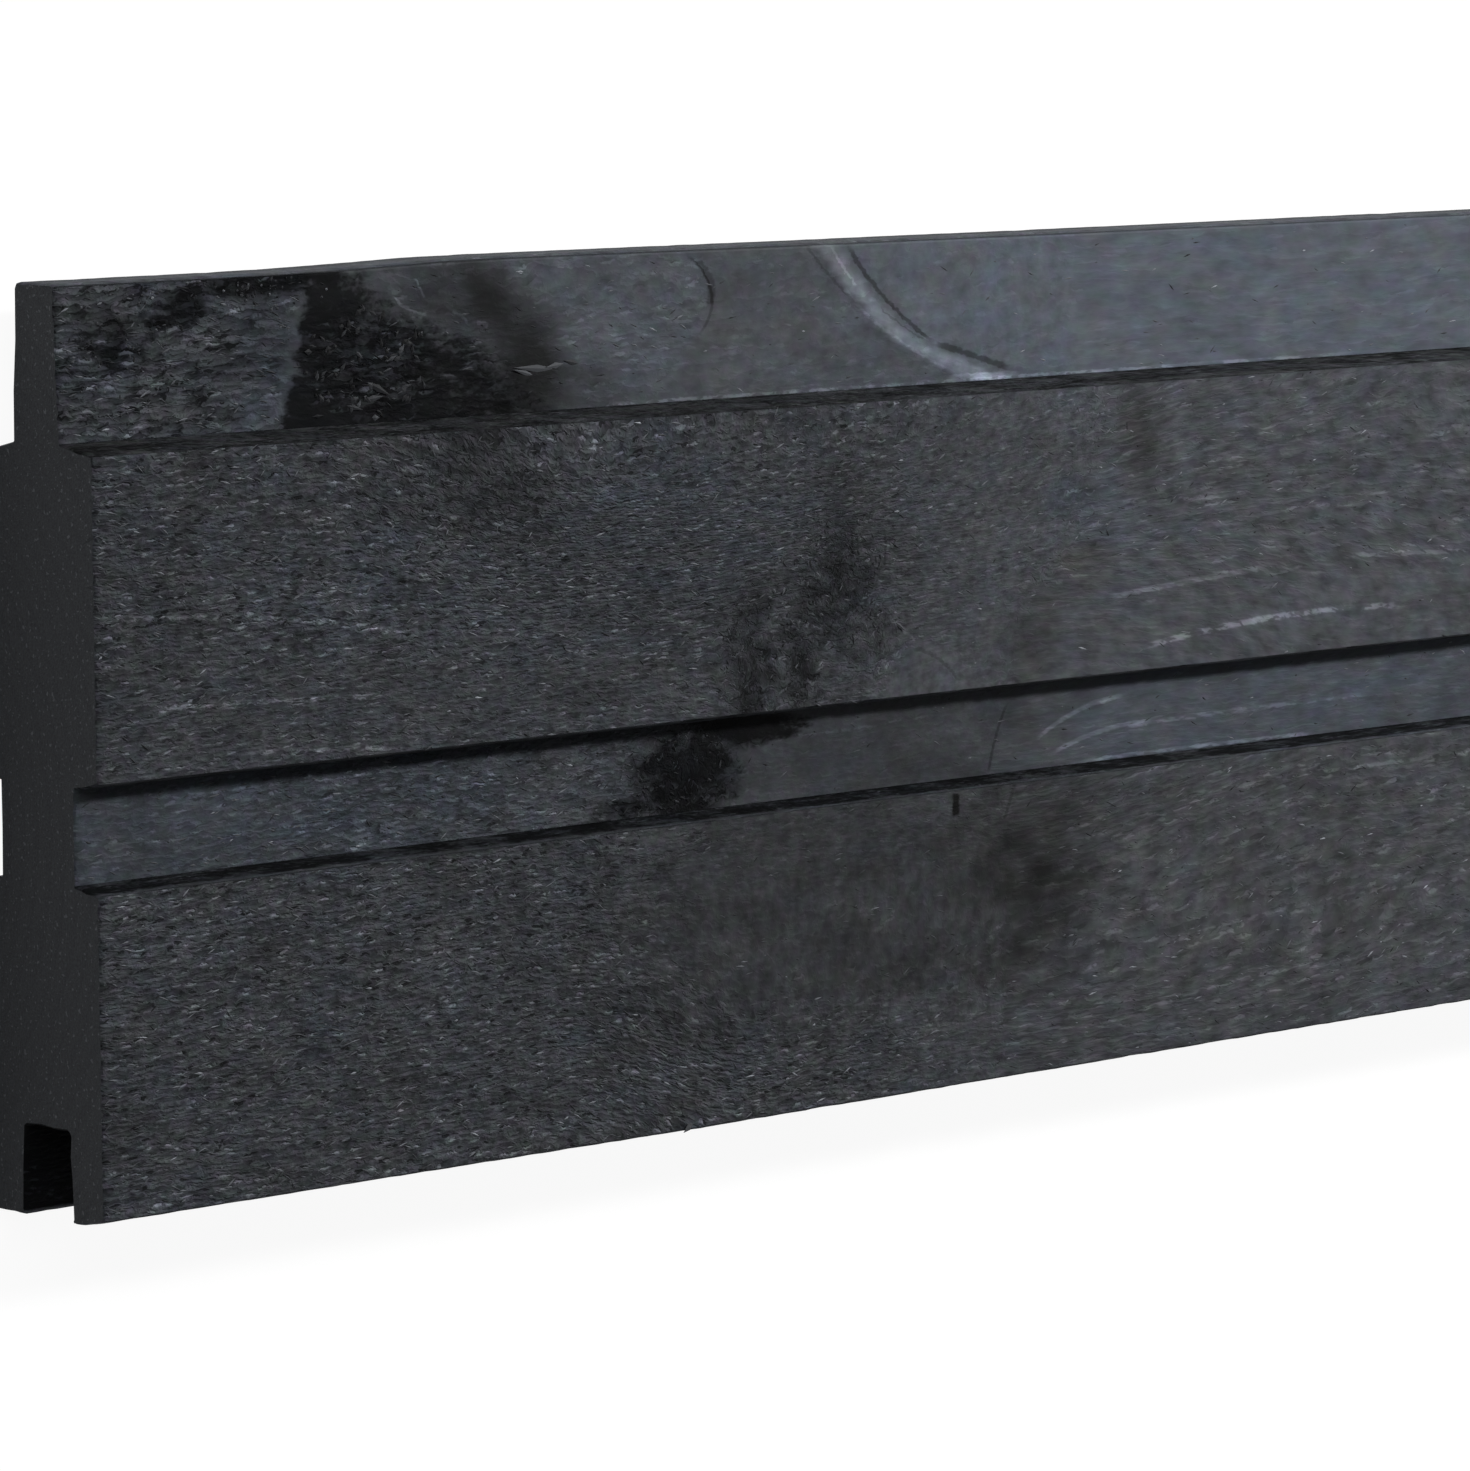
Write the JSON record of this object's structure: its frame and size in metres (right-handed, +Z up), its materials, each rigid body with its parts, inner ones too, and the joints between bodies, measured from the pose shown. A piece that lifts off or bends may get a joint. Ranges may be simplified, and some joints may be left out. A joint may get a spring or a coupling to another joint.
{
  "type": "profiled cladding board",
  "caption": "Black-stained softwood cladding board with a tongue, a grooved lower edge and a flat channel moulded between slat faces, for walls and fences.",
  "frame": {"origin": "centre of the underside: middle of the length and of the overall width, on the plane the back rests on", "axes": "+X along the board, away from the end the picture shows; +Y across the width, towards the tongue; +Z up, out of the slat faces"},
  "size_m": [1.8, 0.145, 0.028],
  "materials": {
    "stained_softwood": "black-grey impregnating stain on softwood; slat faces fine-sawn and fibrous, tongue, channel and edges planed"
  },
  "bodies": {
    "root": {"cladding_board": "stained_softwood"}
  },
  "joints": []
}
